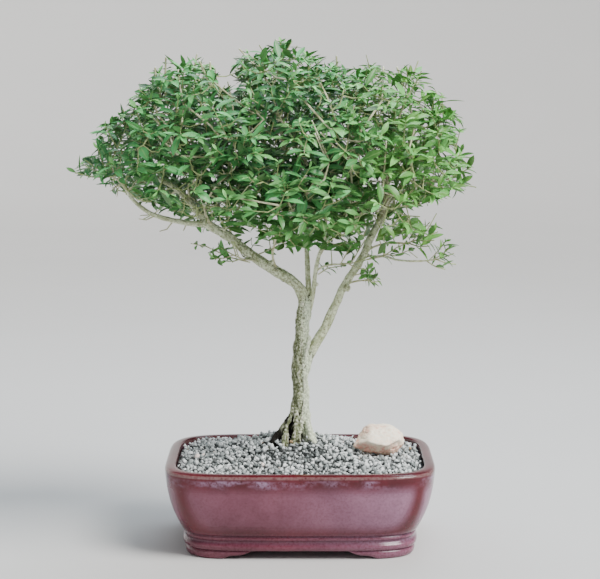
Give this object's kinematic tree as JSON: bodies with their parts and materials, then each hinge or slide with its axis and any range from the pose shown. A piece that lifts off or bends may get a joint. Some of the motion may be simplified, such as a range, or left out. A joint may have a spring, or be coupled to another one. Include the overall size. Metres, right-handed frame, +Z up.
{
  "type": "serissa bonsai",
  "caption": "Small-leaved bonsai tree with a wide, flat-based crown, planted in grit with a pale stone beside it, in a dark red glazed pot on cloud feet.",
  "frame": {"origin": "bottom centre of the overall box, on the surface that the pot stands on", "axes": "+Z up, -Y towards the viewer at the pot's long front side, +X to the viewer's right"},
  "size_m": [0.3866, 0.2656, 0.4836],
  "materials": {
    "glaze": "gloss",
    "plastic": "matte",
    "soil": "matte",
    "grit": "matte",
    "stone": "matte",
    "bark": "matte",
    "leaf": "satin"
  },
  "bodies": {
    "root": {"pot": "glaze", "drain_mesh_left": "plastic", "drain_mesh_right": "plastic", "soil": "soil", "gravel": "grit", "stone": "stone", "tree_wood": "bark", "leafy_spray_01": "leaf", "leafy_spray_02": "leaf", "leafy_spray_03": "leaf", "leafy_spray_04": "leaf", "leafy_spray_05": "leaf", "leafy_spray_06": "leaf", "leafy_spray_07": "leaf", "leafy_spray_08": "leaf", "leafy_spray_09": "leaf", "leafy_spray_10": "leaf", "leafy_spray_11": "leaf", "leafy_spray_12": "leaf", "leafy_spray_13": "leaf", "leafy_spray_14": "leaf", "leafy_spray_15": "leaf", "leafy_spray_16": "leaf", "leafy_spray_17": "leaf", "leafy_spray_18": "leaf", "leafy_spray_19": "leaf", "leafy_spray_20": "leaf", "leafy_spray_21": "leaf", "leafy_spray_22": "leaf", "leafy_spray_23": "leaf", "leafy_spray_24": "leaf", "leafy_spray_25": "leaf", "leafy_spray_26": "leaf", "leafy_spray_27": "leaf", "leafy_spray_28": "leaf", "leafy_spray_29": "leaf", "leafy_spray_30": "leaf", "leafy_spray_31": "leaf", "leafy_spray_32": "leaf", "leafy_spray_33": "leaf", "leafy_spray_34": "leaf", "leafy_spray_35": "leaf"}
  },
  "joints": []
}
